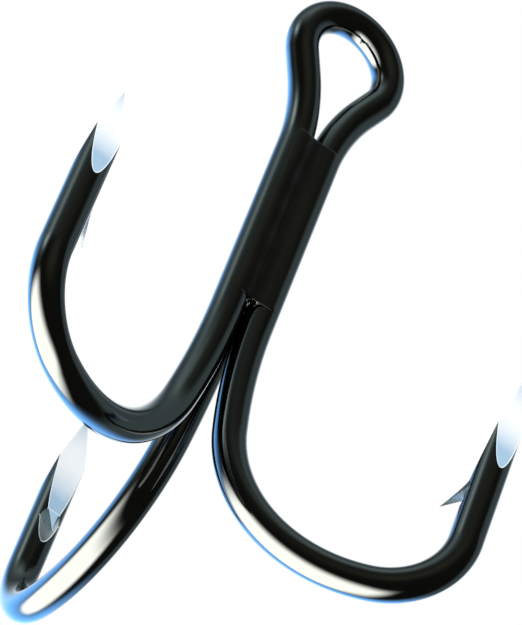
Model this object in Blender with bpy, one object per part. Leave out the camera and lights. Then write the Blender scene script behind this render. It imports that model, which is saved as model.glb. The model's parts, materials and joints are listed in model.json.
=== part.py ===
"""Treble hook: two bent wires brazed along their shanks into a hook with three points.

The origin is the middle of the eye's hole. +Z runs up along the shank, through the eye, and the
hole's axis is Y. The long wire makes the eye and the two hooks at -30 and 210 degrees round the
shank. The short wire makes the hook at 90 degrees (+Y). Run it with: blender --background --python
part.py
"""
import math

import bmesh
import bpy
from mathutils import Matrix, Vector

MM = 0.001

# Wire, and the joint between the three shanks
WIRE_DIAMETER = 3.0 * MM
WIRE_GAP = 0.1 * MM            # between two shanks that lie side by side
BRAZE_CLEARANCE = 0.1 * MM     # between a shank and the alloy cast against it
BRAZE_LENGTH = 19.1 * MM
FILLET_REACH = math.radians(84)  # how far round each shank a fillet climbs, from the nip

# Eye, from its middle down to the joint
EYE_OPENING = 6.1 * MM         # inside width of the loop
EYE_TO_BRAZE = 10.7 * MM       # middle of the hole to the top of the joint
NECK_LEAD = 1.0 * MM           # straight shank inside the joint before the neck opens
NECK_RADIUS = 19.0 * MM        # centreline of each outward curve below the loop

# Hook, from the joint round to the point
THROAT_LEAD = 1.0 * MM         # straight shank below the joint
THROAT_RADIUS = 55.6 * MM
THROAT_ANGLE = math.radians(12)
BEND_RADIUS = 13.9 * MM
BEND_ANGLE = math.radians(84)
FRONT_RADIUS = 7.0 * MM        # takes up the rest of the half turn
LEG_LENGTH = 17.9 * MM         # end of the front curve to the tip
TANG_STANDOUT = 0.4 * MM       # end of the short wire above the joint

# Point and barb, measured along the leg
POINT_LENGTH = 10.7 * MM       # tip to the foot of each of the two outer flats
INNER_FLAT_LENGTH = 13.6 * MM  # tip to where the inner flat would leave the wire
POINT_STOCK = 1.2 * MM         # wire beyond the tip that grinding takes off
BARB_ROOT = 12.0 * MM          # tip to the crease where the barb bends out of the inner flat
BARB_LENGTH = 3.3 * MM         # crease to barb tip
BARB_HEIGHT = 1.5 * MM         # barb tip above the wire
NOTCH_DEPTH = 0.4 * MM         # depth of the cut under the barb, at its mouth
NOTCH_MOUTH = 0.95 * MM        # crease to the mouth of the cut
NOTCH_RUNOUT = 0.3 * MM        # where the cut leaves the wire, below the barb tip
BARB_SKIN = 0.03 * MM          # how far the barb's foot is buried in the wire

# Facets
WIRE_SIDES = 24
RING_STEP = math.radians(4)
EYE_STEP = math.radians(8)
FILLET_STEPS = 5               # along each side of a fillet's section
CORE_STEPS = 4                 # along each side of the core's section
SHARP_EDGE = math.radians(35)  # a turn that stays an edge when a round piece is shaded

WIRE_RADIUS = WIRE_DIAMETER / 2
SHANK_SPACING = WIRE_DIAMETER + WIRE_GAP
SHANK_CIRCLE = SHANK_SPACING / math.sqrt(3)
SHANK_AXIS_Y = SHANK_CIRCLE / 2          # the eye's plane holds the long wire's two shanks
BRAZE_TOP = -EYE_TO_BRAZE
BRAZE_BOTTOM = BRAZE_TOP - BRAZE_LENGTH
THROAT_TOP = BRAZE_BOTTOM - THROAT_LEAD
NECK_BOTTOM = BRAZE_TOP - NECK_LEAD
LOOP_RADIUS = (EYE_OPENING + WIRE_DIAMETER) / 2

RIGHT_AZIMUTH = math.radians(-30)
LEFT_AZIMUTH = math.radians(210)
REAR_AZIMUTH = math.radians(90)
POINT_FLATS = (
    (math.radians(60), POINT_LENGTH),
    (math.radians(180), INNER_FLAT_LENGTH),
    (math.radians(300), POINT_LENGTH),
)

UP = Vector((0, 0, 1))


def clear_scene():
    """Remove whatever the file opened with."""
    for old in list(bpy.data.objects):
        bpy.data.objects.remove(old, do_unlink=True)


def metal(name, colour, roughness):
    """Make a plain metallic Principled material."""
    material = bpy.data.materials.new(name)
    material.use_nodes = True
    shader = material.node_tree.nodes["Principled BSDF"]
    shader.inputs["Base Color"].default_value = (*colour, 1)
    shader.inputs["Metallic"].default_value = 1.0
    shader.inputs["Roughness"].default_value = roughness
    material.diffuse_color = (*colour, 1)
    material.metallic = 1.0
    material.roughness = roughness
    return material


def outward(azimuth):
    """Return the level unit vector at this angle round the shank."""
    return Vector((math.cos(azimuth), math.sin(azimuth), 0))


def whole_steps(start, end, step):
    """Return the angles after start up to end that fall on whole steps, and end itself.

    Rings on whole 4 degree steps leave one facet level at the lowest place of each bend.
    """
    sign = 1 if end > start else -1
    count = math.floor(sign * start / step + 1e-6) + 1
    angles = []
    while count * step < sign * end - step / 4:
        angles.append(sign * count * step)
        count += 1
    return angles + [end]


# --- Centrelines. A station is a place on the centreline and the turn of the wire's section there.

def hook_profile(shank_top, stock):
    """Follow one hook in its own plane, from the shank's top to past the tip.

    Each entry is (distance from the shank circle's middle, height, turn), where the turn is 0 on
    the shank and half a turn on the leg.
    """
    rho = SHANK_CIRCLE
    z = THROAT_TOP
    profile = [(rho, shank_top, 0.0), (rho, z, 0.0)]
    turn = 0.0
    arcs = (
        (THROAT_RADIUS, THROAT_ANGLE),
        (BEND_RADIUS, THROAT_ANGLE + BEND_ANGLE),
        (FRONT_RADIUS, math.pi),
    )
    for radius, end in arcs:
        for angle in whole_steps(turn, end, RING_STEP):
            rho += radius * (math.cos(turn) - math.cos(angle))
            z -= radius * (math.sin(angle) - math.sin(turn))
            turn = angle
            profile.append((rho, z, turn))
    profile.append((rho, z + LEG_LENGTH + stock, math.pi))
    return profile


def hook_tip():
    """Return the tip's distance from the shank circle's middle, and its height."""
    rho, z, _ = hook_profile(0.0, 0.0)[-1]
    return rho, z


def hook_stations(azimuth, shank_top, shank_turn=None):
    """Place a hook round the shank, and turn the wire's section along it."""
    radial = outward(azimuth)
    hinge = radial.cross(UP)
    base = Matrix.Identity(3) if shank_turn is None else shank_turn
    stations = []
    for rho, z, turn in hook_profile(shank_top, POINT_STOCK):
        place = Vector((0, SHANK_AXIS_Y, z)) + radial * rho
        stations.append((place, Matrix.Rotation(turn, 3, hinge) @ base))
    return stations


def neck_lean():
    """Return the lean of the straight run between the neck's curve and the loop."""
    across = SHANK_SPACING / 2 + NECK_RADIUS
    along = -NECK_BOTTOM
    reach = math.hypot(across, along)
    return math.atan2(along, across) - math.acos((LOOP_RADIUS + NECK_RADIUS) / reach)


def eye_stations():
    """Follow the eye from the right shank, over the loop, to the left shank."""
    lean = neck_lean()
    half = []
    for angle in [0.0] + whole_steps(0.0, lean, EYE_STEP):
        x = SHANK_SPACING / 2 + NECK_RADIUS * (1 - math.cos(angle))
        z = NECK_BOTTOM + NECK_RADIUS * math.sin(angle)
        half.append((x, z, angle))
    for angle in [lean] + whole_steps(lean, -math.pi / 2, EYE_STEP):
        half.append((LOOP_RADIUS * math.cos(angle), -LOOP_RADIUS * math.sin(angle), angle))
    stations = [(Vector((x, 0, z)), Matrix.Rotation(turn, 3, "Y")) for x, z, turn in half]
    for x, z, turn in reversed(half[:-1]):
        stations.append((Vector((-x, 0, z)), Matrix.Rotation(-math.pi - turn, 3, "Y")))
    return stations


# --- Solids

def mesh_object(name, bm, material, smooth=True):
    """Turn a bmesh into an object with outward faces."""
    bmesh.ops.recalc_face_normals(bm, faces=bm.faces)
    mesh = bpy.data.meshes.new(name)
    bm.to_mesh(mesh)
    bm.free()
    mesh.materials.append(material)
    if smooth:
        mesh.shade_smooth()
        mesh.set_sharp_from_angle(angle=SHARP_EDGE)
    obj = bpy.data.objects.new(name, mesh)
    bpy.context.scene.collection.objects.link(obj)
    return obj


def sweep_wire(name, stations, material):
    """Carry the wire's section along its stations and close both ends."""
    bm = bmesh.new()
    rings = []
    for place, turn in stations:
        ring = []
        for side in range(WIRE_SIDES):
            angle = (side + 0.5) * math.tau / WIRE_SIDES
            ring.append(bm.verts.new(place + turn @ (outward(angle) * WIRE_RADIUS)))
        rings.append(ring)
    for low, high in zip(rings, rings[1:]):
        for side in range(WIRE_SIDES):
            after = (side + 1) % WIRE_SIDES
            bm.faces.new((low[side], low[after], high[after], high[side]))
    bm.faces.new(rings[0])
    bm.faces.new(rings[-1])
    return mesh_object(name, bm, material)


def extrude_section(name, section, bottom, top, material):
    """Make a prism from a closed outline of (x, y) points."""
    bm = bmesh.new()
    low = [bm.verts.new((x, y, bottom)) for x, y in section]
    high = [bm.verts.new((x, y, top)) for x, y in section]
    count = len(section)
    for i in range(count):
        after = (i + 1) % count
        bm.faces.new((low[i], low[after], high[after], high[i]))
    bm.faces.new(low)
    bm.faces.new(high)
    return mesh_object(name, bm, material, smooth=False)


def hull(name, points, material):
    """Make the closed convex solid round some points."""
    bm = bmesh.new()
    for point in points:
        bm.verts.new(point)
    made = bmesh.ops.convex_hull(bm, input=bm.verts)
    inside = {e for e in made["geom_interior"] if isinstance(e, bmesh.types.BMVert)}
    bmesh.ops.delete(bm, geom=list(inside), context="VERTS")
    return mesh_object(name, bm, material, smooth=False)


def as_tool(obj):
    """Keep a cutting or adding body out of the finished model."""
    obj.hide_render = True
    obj.display_type = "WIRE"
    return obj


def combine(target, tool, operation):
    """Cut or add a body with an exact Boolean."""
    modifier = target.modifiers.new(f"{operation.lower()}_{tool.name}", "BOOLEAN")
    modifier.operation = operation
    modifier.solver = "EXACT"
    modifier.object = tool


def leg_frame(azimuth):
    """Return the frame of a leg: X away from the shank, Z up along the leg, origin at the tip."""
    rho, z = hook_tip()
    place = Vector((0, SHANK_AXIS_Y, z)) + outward(azimuth) * rho
    return Matrix.Translation(place) @ Matrix.Rotation(azimuth, 4, "Z")


def grind_point(wire, side, azimuth, material):
    """Grind three flats that meet at the tip and run out on the wire's surface."""
    depth = 2 * WIRE_DIAMETER
    high = POINT_STOCK + WIRE_DIAMETER
    for number, (flat, length) in enumerate(POINT_FLATS):
        slope = math.atan2(WIRE_RADIUS, length)
        low = -(length + WIRE_DIAMETER)
        block = [
            Vector((x, y, z))
            for x in (0, depth)
            for y in (-depth, depth)
            for z in (low, high)
        ]
        frame = leg_frame(azimuth) @ Matrix.Rotation(flat, 4, "Z") @ Matrix.Rotation(-slope, 4, "Y")
        tool = hull(f"{side}_flat_{number}", [frame @ corner for corner in block], material)
        combine(wire, as_tool(tool), "DIFFERENCE")


def cut_barb(wire, side, azimuth, material):
    """Cut a slanting notch in the leg's inner side and raise the barb above it."""
    frame = leg_frame(azimuth)
    tip = Vector((-WIRE_RADIUS - BARB_HEIGHT, 0, -BARB_ROOT - BARB_LENGTH))
    floor = -(WIRE_RADIUS - NOTCH_DEPTH)
    mouth = -BARB_ROOT - NOTCH_MOUTH
    # the notch, a wedge right across the wire
    wedge = (
        (floor, mouth + BARB_SKIN),
        (-WIRE_RADIUS, tip.z - NOTCH_RUNOUT),
        (tip.x, tip.z - NOTCH_RUNOUT),
        (tip.x, tip.z),
    )
    corners = [Vector((x, y, z)) for x, z in wedge for y in (-WIRE_DIAMETER, WIRE_DIAMETER)]
    notch = hull(f"{side}_notch", [frame @ corner for corner in corners], material)
    combine(wire, as_tool(notch), "DIFFERENCE")
    # the barb, a chip whose top is the ground flat and whose underside is the cut
    inner = WIRE_RADIUS - BARB_SKIN
    crease = WIRE_RADIUS * BARB_ROOT / INNER_FLAT_LENGTH
    top_half = math.acos(min(1.0, crease / WIRE_RADIUS))
    cut_half = math.acos(-floor / WIRE_RADIUS)
    chip = [tip, Vector((0, 0, -BARB_ROOT))]
    for share in (0.0, 0.5, 1.0):
        angle = top_half + (cut_half - top_half) * share
        x = -inner * math.cos(angle)
        y = inner * math.sin(angle)
        z = -BARB_ROOT + (mouth + BARB_ROOT) * share ** 2
        chip += [Vector((x, y, z)), Vector((x, -y, z))]
    barb = hull(f"{side}_barb", [frame @ point for point in chip], material)
    combine(wire, as_tool(barb), "UNION")


def shank_centre(azimuth):
    """Return the middle of the shank at this angle round the joint."""
    return Vector((0, SHANK_AXIS_Y, 0)) + outward(azimuth) * SHANK_CIRCLE


def nip_angle():
    """Return the angle at which two shanks' alloy faces meet, from the line between the shanks."""
    return math.acos(SHANK_SPACING / 2 / (WIRE_RADIUS + BRAZE_CLEARANCE))


def alloy_arc(azimuth, start, end, steps):
    """Follow the alloy's face round one shank, between two directions."""
    centre = shank_centre(azimuth)
    radius = WIRE_RADIUS + BRAZE_CLEARANCE
    points = []
    for i in range(steps + 1):
        point = centre + outward(start + (end - start) * i / steps) * radius
        points.append((point.x, point.y))
    return points


def fillet_section(first, second):
    """Outline the alloy in the groove between two shanks, seen from the outside of the joint."""
    a = shank_centre(first)
    b = shank_centre(second)
    toward = math.atan2(b.y - a.y, b.x - a.x)
    nip = nip_angle()
    rise = alloy_arc(first, toward - FILLET_REACH, toward - nip, FILLET_STEPS)
    fall = alloy_arc(second, toward + math.pi + nip, toward + math.pi + FILLET_REACH, FILLET_STEPS)
    return rise + fall[1:]


def core_section():
    """Outline the alloy in the channel between the three shanks."""
    spread = math.pi / 6 - nip_angle()
    outline = []
    for azimuth in (RIGHT_AZIMUTH, REAR_AZIMUTH, LEFT_AZIMUTH):
        inward = azimuth + math.pi
        arc = alloy_arc(azimuth, inward + spread, inward - spread, CORE_STEPS)
        outline += arc[:-1]
    return outline


def build():
    """Build every piece."""
    clear_scene()
    nickel = metal("black_nickel", (0.045, 0.045, 0.042), 0.16)
    nickel_short = metal("black_nickel_short_wire", (0.045, 0.045, 0.042), 0.16)
    half_turn = Matrix.Rotation(-math.pi, 3, "Y")

    right = hook_stations(RIGHT_AZIMUTH, BRAZE_BOTTOM)
    left = hook_stations(LEFT_AZIMUTH, BRAZE_BOTTOM, half_turn)
    route = list(reversed(right)) + eye_stations() + left
    double_wire = sweep_wire("double_hook_wire", route, nickel)
    single_top = BRAZE_TOP + TANG_STANDOUT
    single_wire = sweep_wire("single_hook_wire", hook_stations(REAR_AZIMUTH, single_top), nickel_short)

    hooks = (
        (double_wire, "right", RIGHT_AZIMUTH, nickel),
        (double_wire, "left", LEFT_AZIMUTH, nickel),
        (single_wire, "rear", REAR_AZIMUTH, nickel_short),
    )
    for wire, side, azimuth, material in hooks:
        grind_point(wire, side, azimuth, material)
        cut_barb(wire, side, azimuth, material)

    grooves = (
        ("braze_fillet_front", LEFT_AZIMUTH, RIGHT_AZIMUTH),
        ("braze_fillet_right", RIGHT_AZIMUTH, REAR_AZIMUTH),
        ("braze_fillet_left", REAR_AZIMUTH, LEFT_AZIMUTH),
    )
    for name, first, second in grooves:
        alloy = metal(f"{name}_alloy", (0.06, 0.06, 0.055), 0.3)
        extrude_section(name, fillet_section(first, second), BRAZE_BOTTOM, BRAZE_TOP, alloy)
    core_alloy = metal("braze_core_alloy", (0.5, 0.42, 0.22), 0.35)
    extrude_section("braze_core", core_section(), BRAZE_BOTTOM, BRAZE_TOP, core_alloy)


build()
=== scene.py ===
"""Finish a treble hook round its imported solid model.

Two drawn steel wires carry three hooks and an eye. Their points are ground, their barbs are cut, and
their shanks are brazed together and plated in black nickel. Each class below makes one sub-assembly
and dresses it. Lengths are in metres unless a name says otherwise, +Z runs up the shank, and the
origin is the middle of the eye's hole.
"""
from __future__ import annotations

import json
import logging
import math
from dataclasses import dataclass, field
from enum import Enum, IntEnum
from typing import Any, Iterable, Sequence

import bmesh
import bpy
import numpy as np
from mathutils import Matrix, Vector

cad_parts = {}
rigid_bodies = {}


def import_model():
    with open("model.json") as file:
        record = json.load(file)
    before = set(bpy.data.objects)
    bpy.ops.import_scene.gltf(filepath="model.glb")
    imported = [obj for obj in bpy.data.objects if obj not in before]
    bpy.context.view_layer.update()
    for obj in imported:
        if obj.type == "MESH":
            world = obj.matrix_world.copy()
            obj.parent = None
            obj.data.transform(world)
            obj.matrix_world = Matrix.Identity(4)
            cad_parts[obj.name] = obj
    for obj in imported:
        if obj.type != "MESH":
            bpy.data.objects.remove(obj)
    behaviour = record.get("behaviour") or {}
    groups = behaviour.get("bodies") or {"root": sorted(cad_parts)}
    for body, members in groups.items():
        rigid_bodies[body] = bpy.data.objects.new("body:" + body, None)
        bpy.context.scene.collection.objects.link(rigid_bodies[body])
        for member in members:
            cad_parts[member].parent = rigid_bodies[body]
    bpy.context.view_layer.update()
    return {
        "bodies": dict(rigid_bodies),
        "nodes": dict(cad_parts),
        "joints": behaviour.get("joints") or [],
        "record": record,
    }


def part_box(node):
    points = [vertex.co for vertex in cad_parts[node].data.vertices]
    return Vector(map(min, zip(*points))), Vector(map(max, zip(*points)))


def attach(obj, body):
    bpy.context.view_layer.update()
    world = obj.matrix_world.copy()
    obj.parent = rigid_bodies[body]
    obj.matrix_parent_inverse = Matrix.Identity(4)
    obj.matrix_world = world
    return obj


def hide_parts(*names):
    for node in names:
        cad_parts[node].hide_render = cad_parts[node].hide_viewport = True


log = logging.getLogger("treble_hook")

MM = 0.001
UP = Vector((0, 0, 1))
Colour = tuple[float, float, float]
PLACE = "wire_place"        # attribute: two offsets from the wire's middle, and the run along it
TIP_DISTANCE = "tip_distance"  # attribute: how far a place lies below the point of its hook, which places the ground steel's painted highlight
FAR_FROM_TIP = 1.0          # the tip distance of every place that isn't on a ground point
VIEW_HEIGHT = -27.353 * MM  # of the place on the joint's axis that the camera's is measured from


def in_scene(name: str, data: bpy.types.ID) -> bpy.types.Object:
    """Make an object from a mesh, light or camera and put it in the scene."""
    obj = bpy.data.objects.new(name, data)
    bpy.context.scene.collection.objects.link(obj)
    return obj


def join_rings(bm: bmesh.types.BMesh, low: Sequence[bmesh.types.BMVert],
               high: Sequence[bmesh.types.BMVert]) -> None:
    """Join two rings of vertices with a band of faces."""
    for i in range(len(low)):
        after = (i + 1) % len(low)
        bm.faces.new((low[i], low[after], high[after], high[i]))


# --- Shader arithmetic


class Value:
    """A shader socket holding a number, which can be used in Python arithmetic."""

    def __init__(self, graph: "Graph", socket: bpy.types.NodeSocket) -> None:
        """Wrap one output socket of a graph."""
        self.graph = graph
        self.socket = socket

    def _math(self, operation: str, *terms: "Value | float") -> "Value":
        """Add a Math node.

        Args:
            operation: the Math node's operation.
            *terms: its inputs in order.

        Returns:
            The node's result.
        """
        inputs = dict(enumerate(terms))
        return self.graph.value("ShaderNodeMath", {"operation": operation}, inputs)

    def __add__(self, other: "Value | float") -> "Value":
        """Return self + other."""
        return self._math("ADD", self, other)

    def __radd__(self, other: float) -> "Value":
        """Return other + self."""
        return self._math("ADD", other, self)

    def __sub__(self, other: "Value | float") -> "Value":
        """Return self - other."""
        return self._math("SUBTRACT", self, other)

    def __rsub__(self, other: float) -> "Value":
        """Return other - self."""
        return self._math("SUBTRACT", other, self)

    def __mul__(self, other: "Value | float") -> "Value":
        """Return self * other."""
        return self._math("MULTIPLY", self, other)

    def __rmul__(self, other: float) -> "Value":
        """Return other * self."""
        return self._math("MULTIPLY", other, self)

    def __truediv__(self, other: "Value | float") -> "Value":
        """Return self / other."""
        return self._math("DIVIDE", self, other)

    def __rtruediv__(self, other: float) -> "Value":
        """Return other / self."""
        return self._math("DIVIDE", other, self)

    def __pow__(self, other: float) -> "Value":
        """Return self ** other."""
        return self._math("POWER", self, other)

    def clamped(self) -> "Value":
        """Return the value held between 0 and 1."""
        return self._math("MINIMUM", self._math("MAXIMUM", self, 0.0), 1.0)

    def rising(self, low: float, high: float) -> "Value":
        """Return a smooth step.

        Args:
            low: the value at which the step is 0.
            high: the value at which it is 1. It may be below low.

        Returns:
            The step, from 0 to 1.
        """
        inputs = {"Value": self, "From Min": low, "From Max": high}
        return self.graph.value("ShaderNodeMapRange", {"interpolation_type": "SMOOTHSTEP"}, inputs)


class Graph:
    """A node tree that is filled from Python expressions."""

    def __init__(self, tree: bpy.types.NodeTree) -> None:
        """Take over a node tree and empty it."""
        self.tree = tree
        tree.nodes.clear()

    def node(self, kind: str, settings: dict[str, Any], inputs: dict[Any, Any]) -> bpy.types.Node:
        """Make any node.

        Args:
            kind: the node's type.
            settings: its properties, which are set first. "stops" fills a colour ramp.
            inputs: numbers, colours, values or sockets for its inputs, by name or number.

        Returns:
            The new node.
        """
        made = self.tree.nodes.new(kind)
        for name, setting in settings.items():
            if name == "stops":
                self._fill_ramp(made.color_ramp, setting)
            else:
                setattr(made, name, setting)
        for name, given in inputs.items():
            self._feed(made.inputs[name], given)
        return made

    def _fill_ramp(self, ramp: bpy.types.ColorRamp, stops: Sequence[tuple[float, Colour]]) -> None:
        """Set a colour ramp's stops from (position, colour) pairs."""
        while len(ramp.elements) > 1:
            ramp.elements.remove(ramp.elements[-1])
        for i, (position, colour) in enumerate(stops):
            element = ramp.elements[0] if i == 0 else ramp.elements.new(position)
            element.position = position
            element.color = (*colour, 1)

    def _feed(self, socket: bpy.types.NodeSocket, given: Any) -> None:
        """Link a value or socket to an input, or set the input's own number or colour."""
        if isinstance(given, Value):
            self.tree.links.new(given.socket, socket)
        elif isinstance(given, bpy.types.NodeSocket):
            self.tree.links.new(given, socket)
        elif socket.type == "RGBA":
            socket.default_value = (*given, 1)
        else:
            socket.default_value = given

    def value(self, kind: str, settings: dict[str, Any], inputs: dict[Any, Any]) -> Value:
        """Make a node and return its first output as a value."""
        return Value(self, self.node(kind, settings, inputs).outputs[0])

    def blended(self, factor: Value, low: Any, high: Any) -> bpy.types.NodeSocket:
        """Mix two colours.

        Args:
            factor: 0 for the first colour, 1 for the second.
            low: the first colour or its socket.
            high: the second.

        Returns:
            The mixed colour's socket.
        """
        return self.node("ShaderNodeMix", {"data_type": "RGBA"}, {0: factor, 6: low, 7: high}).outputs[2]

    def vectors(self, operation: str, inputs: dict[Any, Any]) -> bpy.types.NodeSocket:
        """Make a Vector Math node and return its vector."""
        return self.node("ShaderNodeVectorMath", {"operation": operation}, inputs).outputs[0]

    def along(self, vector: bpy.types.NodeSocket, axis: Sequence[float]) -> Value:
        """Return how far a vector goes along a fixed axis."""
        made = self.node("ShaderNodeVectorMath", {"operation": "DOT_PRODUCT"}, {0: vector, 1: tuple(axis)})
        return Value(self, made.outputs["Value"])


class Surface(Graph):
    """The graph of one metal's material, laid out along the wire."""

    def __init__(self, name: str) -> None:
        """Make the material and its shader."""
        self.material = bpy.data.materials.new(name)
        self.material.use_nodes = True
        super().__init__(self.material.node_tree)
        self.shader = self.node("ShaderNodeBsdfPrincipled", {}, {})
        self.node("ShaderNodeOutputMaterial", {}, {"Surface": self.shader.outputs[0]})
        place = self.node("ShaderNodeAttribute", {"attribute_name": PLACE}, {})
        self.place = place.outputs["Vector"]

    def grain(self, across: float, along: float, detail: float = 2.0) -> Value:
        """Make a noise stretched along or across the wire.

        Args:
            across: the size of a mark across the wire.
            along: its size along the wire.
            detail: how many finer layers the noise has.

        Returns:
            The noise, from 0 to 1 round a middle of 0.5.
        """
        scale = (1 / across, 1 / across, 1 / along)
        stretched = self.vectors("MULTIPLY", {0: self.place, 1: scale})
        return self.value("ShaderNodeTexNoise", {}, {"Vector": stretched, "Scale": 1.0, "Detail": detail})

    def tip_distance(self) -> Value:
        """Return the distance below the hook's point."""
        made = self.node("ShaderNodeAttribute", {"attribute_name": TIP_DISTANCE}, {})
        return Value(self, made.outputs["Fac"])

    def relief(self, height: Value, depth: float) -> None:
        """Raise and lower the surface.

        Args:
            height: the relief, from 0 to 1.
            depth: how far 1 stands above 0.
        """
        bump = self.node("ShaderNodeBump", {}, {"Height": height, "Distance": depth, "Strength": 1.0})
        self.paint({"Normal": bump.outputs[0]})

    def paint(self, inputs: dict[str, Any]) -> None:
        """Set or link the shader's sockets."""
        for name, given in inputs.items():
            self._feed(self.shader.inputs[name], given)


# --- Finishes

Mark = tuple[float, float]   # the size of a mark in the metal: across the wire, then along it


@dataclass(frozen=True)
class BlackNickel:
    """Bright black nickel plate over drawn wire: dark mirror, faint lines along the wire."""

    name: str = "black_nickel"
    cool: Colour = (0.079, 0.081, 0.080)
    warm: Colour = (0.092, 0.089, 0.082)
    gloss: float = 0.075          # roughness of the cleanest plate
    haze: float = 0.07            # roughness that the haziest plate adds
    streak: Mark = (0.45 * MM, 14 * MM)
    line: Mark = (0.22 * MM, 9 * MM)
    cloud: Mark = (2.4 * MM, 5 * MM)
    dimple: Mark = (1.6 * MM, 3.2 * MM)
    scuff: Mark = (0.16 * MM, 1.3 * MM)
    line_depth: float = 0.0016 * MM
    dimple_depth: float = 0.0005 * MM
    scuff_depth: float = 0.0008 * MM

    def make(self) -> bpy.types.Material:
        """Mix the finish.

        Returns:
            The finished material.
        """
        surface = Surface(self.name)
        streak = surface.grain(*self.streak, 3.0)
        fine = surface.grain(*self.line, 3.0)
        cloud = surface.grain(*self.cloud, 2.0)
        dimple = surface.grain(*self.dimple, 1.0)
        scuff = surface.grain(*self.scuff, 2.0).rising(0.69, 0.78)
        tone = (streak * 0.7 + cloud * 0.5 - 0.1).clamped()
        surface.paint({
            "Base Color": surface.blended(tone, self.cool, self.warm),
            "Metallic": 1.0,
            "Roughness": self.gloss + self.haze * (streak.rising(0.35, 0.75) * 0.6 + scuff * 0.5),
        })
        relief = fine * self.line_depth + dimple * self.dimple_depth - scuff * self.scuff_depth
        surface.relief(relief * (1 / MM), MM)
        return surface.material


@dataclass(frozen=True)
class GroundSteel:
    """Bare steel ground to a satin flat, with a painted highlight: palest in a patch some way below the
    point, fading to the cool colour away from it.
    """

    name: str = "ground_steel"
    # bright is the painted highlight's colour; cool is the colour away from it, here light blue, a painted
    # reflection of the blue surroundings
    bright: Colour = (0.97, 0.985, 0.99)
    cool: Colour = (0.38, 0.56, 0.73)
    highlight_at: float = 4.1 * MM     # from the point to the middle of the painted highlight
    highlight_reach: float = 4.4 * MM
    metal: float = 0.14
    gloss: float = 0.40
    line_length: float = 2.5 * MM   # grinding lines run across the wire
    line_width: float = 0.05 * MM
    line_depth: float = 0.0006 * MM
    cloud: Mark = (0.9 * MM, 1.4 * MM)

    def make(self) -> bpy.types.Material:
        """Mix the finish.

        Returns:
            The finished material.
        """
        surface = Surface(self.name)
        lines = surface.grain(self.line_length, self.line_width, 2.0)
        cloud = surface.grain(*self.cloud, 2.0)
        # Painted highlight: the base colour is palest in a patch at a set distance below the point and fades
        # to the cool colour away from it
        away = (surface.tip_distance() - self.highlight_at) * (1 / self.highlight_reach)
        pale = (1.0 - away * away).clamped()
        tone = (pale + (lines - 0.5) * 0.16 + (cloud - 0.5) * 0.18).clamped()
        surface.paint({
            "Base Color": surface.blended(tone, self.cool, self.bright),
            "Metallic": self.metal,
            "Roughness": self.gloss + (lines - 0.5) * 0.14,
        })
        surface.relief(lines, self.line_depth)
        return surface.material


@dataclass(frozen=True)
class PlatedBraze:
    """Black nickel over brazing alloy that froze with faint ripples."""

    name: str = "plated_braze"
    cool: Colour = (0.070, 0.071, 0.072)
    warm: Colour = (0.100, 0.090, 0.076)
    gloss: float = 0.15
    ripple: Mark = (0.98 * MM, 2.1 * MM)
    streak: Mark = (0.4 * MM, 9 * MM)
    pit: Mark = (0.14 * MM, 0.14 * MM)
    ripple_depth: float = 0.004 * MM
    streak_depth: float = 0.0012 * MM
    pit_depth: float = 0.002 * MM

    def make(self) -> bpy.types.Material:
        """Mix the finish.

        Returns:
            The finished material.
        """
        surface = Surface(self.name)
        ripple = surface.grain(*self.ripple, 2.0)
        streak = surface.grain(*self.streak, 3.0)
        pits = surface.grain(*self.pit, 1.0).rising(0.72, 0.82)
        tone = (streak * 0.6 + ripple * 0.5 - 0.05).clamped()
        surface.paint({
            "Base Color": surface.blended(tone, self.cool, self.warm),
            "Metallic": 1.0,
            "Roughness": self.gloss + streak.rising(0.4, 0.7) * 0.07 + pits * 0.15,
        })
        relief = ripple * self.ripple_depth + streak * self.streak_depth - pits * self.pit_depth
        surface.relief(relief * (1 / MM), MM)
        return surface.material


@dataclass(frozen=True)
class BareBraze:
    """Bare brass-coloured alloy, dulled by flux, in the channel between the shanks."""

    name: str = "bare_braze"
    clean: Colour = (0.62, 0.47, 0.20)
    dull: Colour = (0.30, 0.22, 0.11)
    cloud: Mark = (0.5 * MM, 0.8 * MM)
    speck: Mark = (0.09 * MM, 0.09 * MM)
    speck_depth: float = 0.003 * MM

    def make(self) -> bpy.types.Material:
        """Mix the finish.

        Returns:
            The finished material.
        """
        surface = Surface(self.name)
        surface.place = surface.node("ShaderNodeTexCoord", {}, {}).outputs["Object"]
        cloud = surface.grain(*self.cloud, 3.0)
        speck = surface.grain(*self.speck, 1.0)
        surface.paint({
            "Base Color": surface.blended(cloud.rising(0.35, 0.65), self.clean, self.dull),
            "Metallic": 1.0,
            "Roughness": 0.32 + cloud * 0.2,
        })
        surface.relief(speck, self.speck_depth)
        return surface.material


# --- Sizes that both wires share


class Azimuth(Enum):
    """Where each hook stands round the shank, in degrees from +X."""

    RIGHT = -30.0
    LEFT = 210.0
    REAR = 90.0

    def outward(self) -> Vector:
        """Return the level direction from the shank towards this hook."""
        turn = math.radians(self.value)
        return Vector((math.cos(turn), math.sin(turn), 0))


@dataclass(frozen=True)
class JointSizes:
    """Where the three shanks and the alloy between them lie."""

    wire_radius: float = 1.479 * MM   # plated wire, just inside its solid
    pitch: float = 3.1 * MM           # between the middles of two shanks
    top: float = -10.7 * MM
    bottom: float = -29.8 * MM

    @property
    def circle(self) -> float:
        """Return the distance from the joint's middle to each shank's."""
        return self.pitch / math.sqrt(3)

    def middle(self, height: float) -> Vector:
        """Return the joint's middle at this height."""
        return Vector((0, self.circle / 2, height))

    def shank(self, side: Azimuth, height: float) -> Vector:
        """Return one shank's middle at this height."""
        return self.middle(height) + side.outward() * self.circle


Station = tuple[Vector, Vector, Vector, float]   # the middle, the section's two axes, and the run


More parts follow.
